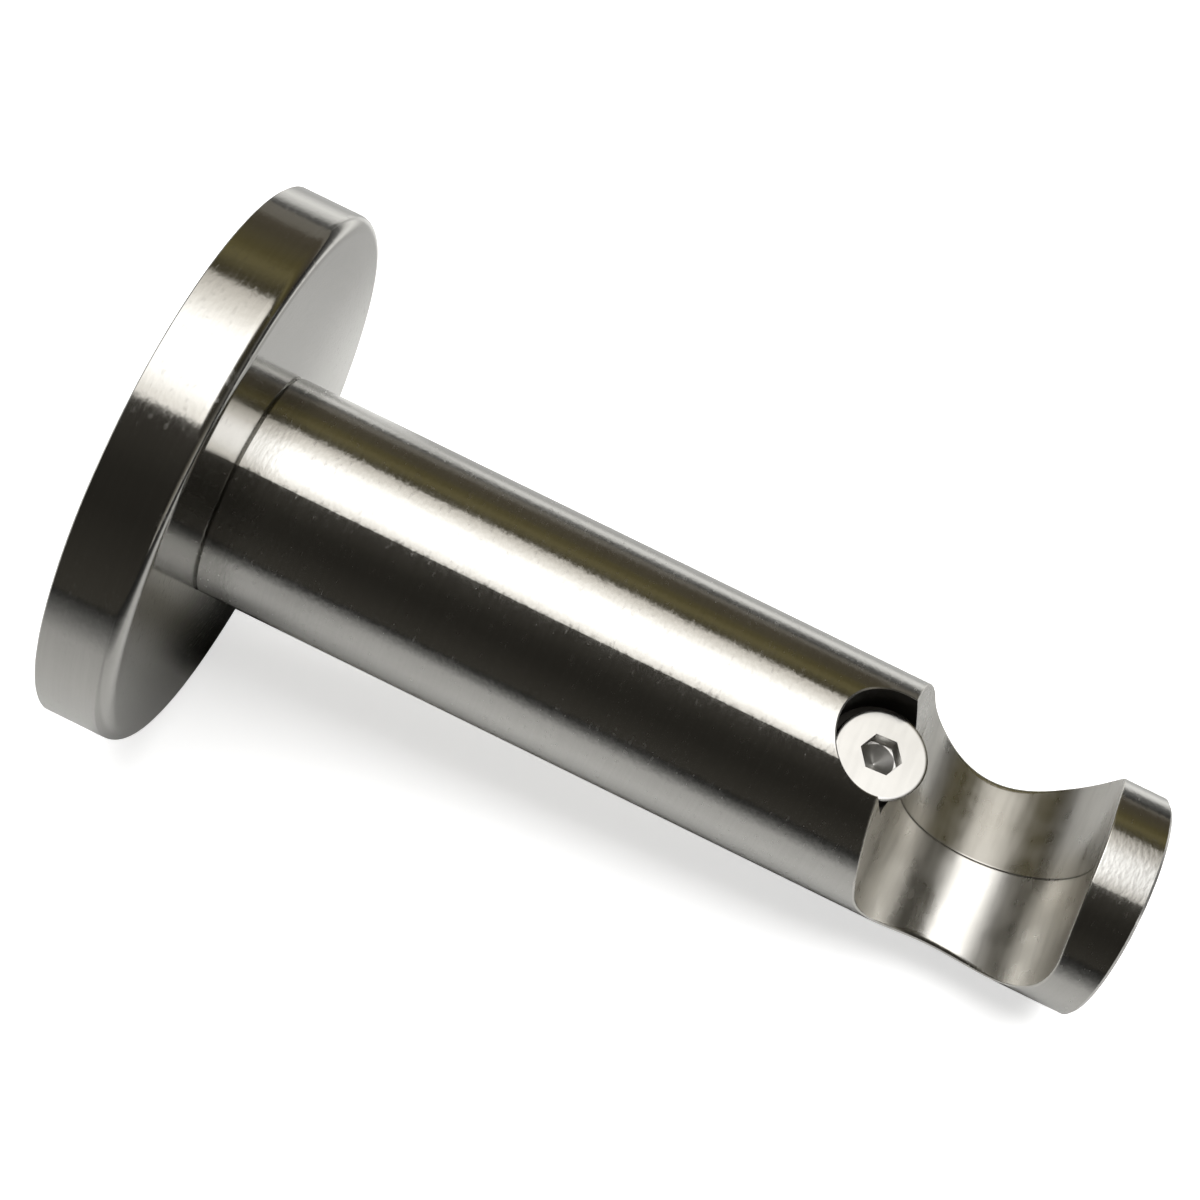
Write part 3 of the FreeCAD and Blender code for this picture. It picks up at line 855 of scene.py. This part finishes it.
# Brightness of the soft light by the angle about the arm's axis in degrees.
SOFT_LIGHT_LEVELS = ((46, 0.30), (52, 0.42), (60, 0.60), (67, 0.84), (73, 1.0), (88, 1.0), (94, 0.88), (100, 0.66),
                     (105, 0.60))

# Where the soft light starts and ends along Y, in metres.
SOFT_LIGHT_ENDS = (-0.28, 0.38)

# Painted light and shade in the floor's colour, as the metal sees it, by the angle about the arm's axis in degrees:
# how well each strip beside the arm is lit, and the painted shade in the corner in front of the rose.
FLOOR_PAINTED_LIGHT = ((-180, 0.03), (-175, 0.05), (-169, 0.21), (-163, 0.46), (-155, 0.50), (-137, 0.60), (-115, 0.66),
                (-105, 1.05), (-97, 1.35), (-86, 1.40), (-73, 1.0), (-62, 0.66), (-47, 0.46), (-31, 0.36),
                (-20, 0.37), (-14, 0.78), (-10, 0.60), (-7, 0.14), (0, 0.03))
CORNER_PAINTED_SHADE = ((-180, 0.03), (-165, 0.35), (-150, 0.45), (-125, 0.42), (-111, 0.42), (-107, 0.12), (-104, 0.05),
                 (-84, 0.05), (-79, 0.40), (-62, 0.80), (-31, 0.66), (-20, 0.60), (-10, 0.40), (0, 0.03))


def ramp(tree, value, stops):
    """A colour ramp over a value from (place, colour) pairs, and its colour."""
    low, high = stops[0][0], stops[-1][0]
    node = tree.nodes.new("ShaderNodeValToRGB")
    elements = node.color_ramp.elements
    while len(elements) < len(stops):
        elements.new(0.5)
    # An element that is moved past another takes its number, so the colours come after all places.
    for element, (place, _) in zip(elements, stops):
        element.position = (place - low) / (high - low)
    for element, (_, colour) in zip(elements, stops):
        element.color = (*colour, 1.0)
    link(tree, between(tree, value, low, high, smooth=False), node.inputs[0])
    return node.outputs["Color"]


def stage_material(name):
    """An empty stage material with its object coordinates along Y and Z, and the angle about the arm's axis in
    degrees."""
    material = bpy.data.materials.new(name)
    material.use_nodes = True
    tree = material.node_tree
    tree.nodes.clear()
    split = tree.nodes.new("ShaderNodeSeparateXYZ")
    link(tree, tree.nodes.new("ShaderNodeTexCoord").outputs["Object"], split.inputs[0])
    across, along, up = split.outputs
    angle = math_node(tree, "DEGREES", math_node(tree, "ARCTAN2", up, across))
    return material, tree, along, up, angle


def from_below(tree, angle):
    """An angle of -180..180 degrees as -90..270, so that it runs on over the -X horizon."""
    return math_node(tree, "SUBTRACT", math_node(tree, "MODULO", math_node(tree, "ADD", angle, 450.0), 360.0), 90.0)


def finish_emission(material, colour, strength):
    """The material, with an emission shader as its surface."""
    tree = material.node_tree
    emit = tree.nodes.new("ShaderNodeEmission")
    fill(tree, emit, {"Color": colour, "Strength": strength})
    link(tree, emit.outputs[0], tree.nodes.new("ShaderNodeOutputMaterial").inputs["Surface"])
    return material


def tent_material():
    """The cards' own light by the angle about the arm's axis, weaker towards both ends."""
    material, tree, along, up, angle = stage_material("tent_cards")
    sides = times(tree, between(tree, along, -0.55, -0.30, 0.75, 1.0), between(tree, along, 0.15, 0.45, 1.0, 0.65))
    return finish_emission(material, ramp(tree, from_below(tree, angle), TENT_STOPS), sides)


def end_material(name, distance, stops):
    """A tent end's own light by its height over the arm's axis, weaker on the +X side."""
    material, tree, along, up, angle = stage_material(name)
    share = math_node(tree, "DIVIDE", up, distance)
    side = between(tree, from_below(tree, angle), 60.0, 110.0, 0.4, 1.0)
    return finish_emission(material, ramp(tree, share, stops), side)


def softbox_material(studio):
    """The soft light: warm and weak on its +X side, full over the arm, and weaker towards its ends."""
    material, tree, along, up, angle = stage_material("soft_light")
    rise = ramp(tree, angle, [(place, (level, level * (0.93 + 0.065 * level), level * (0.80 + 0.19 * level)))
                              for place, level in SOFT_LIGHT_LEVELS])
    near_end = between(tree, along, -0.295, -0.18, 0.35, 1.0)
    wall_end = between(tree, along, 0.08, 0.34, 1.0, 0.12)
    strength = times(tree, times(tree, near_end, wall_end), studio.softbox_strength)
    return finish_emission(material, rise, strength)


def floor_material(studio):
    """The pale floor. The camera sees it white with the bracket's shadow. The metal sees light and shade painted into
    its colour by the angle about the arm's axis: how well each strip of it beside the arm is lit, painted shade in the
    corner in front of the rose, and nothing of it near the horizon."""
    material, tree, along, up, angle = stage_material("pale_floor")
    camera_ray = tree.nodes.new("ShaderNodeLightPath").outputs["Is Camera Ray"]
    # Painted light: for the metal, the floor's colour follows how well each strip is lit.
    strips, corner = (ramp(tree, angle, [(place, (level, level, level * 0.985)) for place, level in levels])
                      for levels in (FLOOR_PAINTED_LIGHT, CORNER_PAINTED_SHADE))
    # Near the rose, the corner's painted shade takes the place of the strips.
    near = times(tree, between(tree, along, -0.017, -0.010), between(tree, along, -0.003, 0.0, 1.0, 0.0))
    strips = blend(tree, near, strips, corner)
    diffuse = tree.nodes.new("ShaderNodeBsdfDiffuse")
    link(tree, blend(tree, camera_ray, strips, (0.8, 0.8, 0.8)), diffuse.inputs["Color"])
    emit = tree.nodes.new("ShaderNodeEmission")
    link(tree, times(tree, camera_ray, studio.floor_glow), emit.inputs["Strength"])
    both = tree.nodes.new("ShaderNodeAddShader")
    link(tree, diffuse.outputs[0], both.inputs[0])
    link(tree, emit.outputs[0], both.inputs[1])
    link(tree, both.outputs[0], tree.nodes.new("ShaderNodeOutputMaterial").inputs["Surface"])
    return material


def floor_light_material(studio):
    """Even white light for the floor."""
    return finish_emission(stage_material("floor_light")[0], (1.0, 1.0, 1.0), studio.floor_strength)


def grid_object(name, points, material):
    """An object from a grid of points."""
    rows, columns, _ = points.shape
    mesh = bpy.data.meshes.new(name)
    mesh.from_pydata(points.reshape(-1, 3).tolist(), [], grid_quads(rows, columns).tolist())
    mesh.materials.append(material)
    return new_object(name, mesh)


def emission_card(name, points, material, mirrored=True):
    """A stage card that gives light but isn't seen by the camera, and in the metal only if mirrored."""
    card = grid_object(name, points, material)
    card.visible_camera = False
    card.visible_shadow = False
    card.visible_glossy = mirrored


def bent_points(radius, angles, low, high):
    """A grid bent round the arm's axis at a radius, with three points along it from low to high."""
    around, along = np.meshgrid(angles, np.linspace(low, high, 3), indexing="ij")
    return stacked(radius * np.cos(around), along, radius * np.sin(around))


def add_floor(studio):
    """A plane that slopes evenly along Y, just under the tip's lower edge and the rose's rim."""
    x, y = np.meshgrid([-4.0, 4.0], [-4.0, TIP_Y, SEAM_Y, 4.0], indexing="ij")
    z = -ARM_RADIUS - 0.05 * MM - (y - TIP_Y - 0.35 * MM) * studio.floor_slope
    floor = grid_object("floor", stacked(x, y, z), floor_material(studio))


def add_tent(studio):
    """The dark cards: a round one about the arm's axis, and an end on each side that fills its outline."""
    half = studio.tent_half
    tent = bent_points(studio.tent_radius, np.radians(np.linspace(-12.0, 192.0, 103)), -half, half)
    emission_card("tent", tent, tent_material())
    for name, y, stops in (("tent_wall_end", half, WALL_END_STOPS), ("tent_tip_end", -half, TIP_END_STOPS)):
        end = tent[:, :1] * np.array([0.0, 1.0])[None, :, None]
        end[..., 1] = y
        emission_card(name, end, end_material(name, half, stops))


def add_lights(studio):
    """The soft light just inside the tent, and the flat light over the floor."""
    angles = np.linspace(studio.softbox_low, studio.softbox_high, 40)
    box = bent_points(studio.tent_radius * 0.97, angles, *SOFT_LIGHT_ENDS)
    emission_card("soft_light", box, softbox_material(studio))
    x, y = np.meshgrid([-0.10, 0.36], [-0.45, 0.35], indexing="ij")
    emission_card("floor_light", stacked(x, y, 0.5), floor_light_material(studio), mirrored=False)


def add_white_world(scene):
    """White surroundings at a strength of one."""
    world = bpy.data.worlds.new("white_surroundings")
    world.use_nodes = True
    background = world.node_tree.nodes["Background"]
    fill(world.node_tree, background, {"Color": (1.0, 1.0, 1.0), "Strength": 1.0})
    scene.world = world


def add_camera(scene):
    """The camera at the photograph's viewing angle, from its place, its forward direction and roughly up."""
    place, forward, up = (-0.10473, -0.05278, 0.21798), (0.45214, 0.02554, -0.89158), (0.79642, 0.43851, 0.41645)
    data = bpy.data.cameras.new("camera")
    data.lens = scene.bracket_studio.lens
    data.sensor_width = 36.0
    data.clip_start = 0.005
    camera = new_object("camera", data)
    forward = Vector(forward).normalized()
    right = forward.cross(Vector(up)).normalized()
    turn = Matrix((right, right.cross(forward), -forward)).transposed().to_4x4()
    camera.matrix_world = Matrix.Translation(place) @ turn
    scene.camera = camera


class BRACKET_OT_stage(bpy.types.Operator):
    """Make the floor, the tent of cards, the soft light, the white surroundings and the camera"""

    bl_idname = "bracket.stage"
    bl_label = "Make stage"

    def execute(self, context):
        studio = context.scene.bracket_studio
        add_floor(studio)
        add_tent(studio)
        add_lights(studio)
        add_white_world(context.scene)
        add_camera(context.scene)
        context.scene.view_settings.view_transform = "Standard"
        return {"FINISHED"}


OPERATORS = (
    BRACKET_OT_materials,
    BRACKET_OT_arm,
    BRACKET_OT_rose,
    BRACKET_OT_clamp_screw,
    BRACKET_OT_hidden_pieces,
    BRACKET_OT_stage,
)
GROUPS = {
    "bracket_saddle": SaddleSizes,
    "bracket_arm": ArmSizes,
    "bracket_rose": RoseSizes,
    "bracket_clamp": ClampSizes,
    "bracket_colours": SteelColours,
    "bracket_studio": StudioSizes,
}


class BRACKET_PT_panel(bpy.types.Panel):
    """Sizes, colours and the operators that build the bracket's looks"""

    bl_idname = "BRACKET_PT_panel"
    bl_label = "Curtain pole bracket"
    bl_space_type = "VIEW_3D"
    bl_region_type = "UI"
    bl_category = "Bracket"

    def draw(self, context):
        layout = self.layout
        for name, group in GROUPS.items():
            box = layout.box()
            box.label(text=group.__doc__)
            for prop in group.__annotations__:
                box.prop(getattr(context.scene, name), prop)
        for operator in OPERATORS:
            layout.operator(operator.bl_idname)


def register():
    """Register the classes and attach the settings to the scene."""
    for group in GROUPS.values():
        bpy.utils.register_class(group)
    for operator in OPERATORS:
        bpy.utils.register_class(operator)
    bpy.utils.register_class(BRACKET_PT_panel)
    for name, group in GROUPS.items():
        setattr(bpy.types.Scene, name, PointerProperty(type=group))


def unregister():
    """Remove the settings and the classes."""
    for name in GROUPS:
        delattr(bpy.types.Scene, name)
    bpy.utils.unregister_class(BRACKET_PT_panel)
    for operator in reversed(OPERATORS):
        bpy.utils.unregister_class(operator)
    for group in GROUPS.values():
        bpy.utils.unregister_class(group)


def main():
    """Register the add-on and build everything."""
    register()
    for step in ("materials", "arm", "rose", "clamp_screw", "hidden_pieces", "stage"):
        getattr(bpy.ops.bracket, step)()


if __name__ == "__main__":
    main()
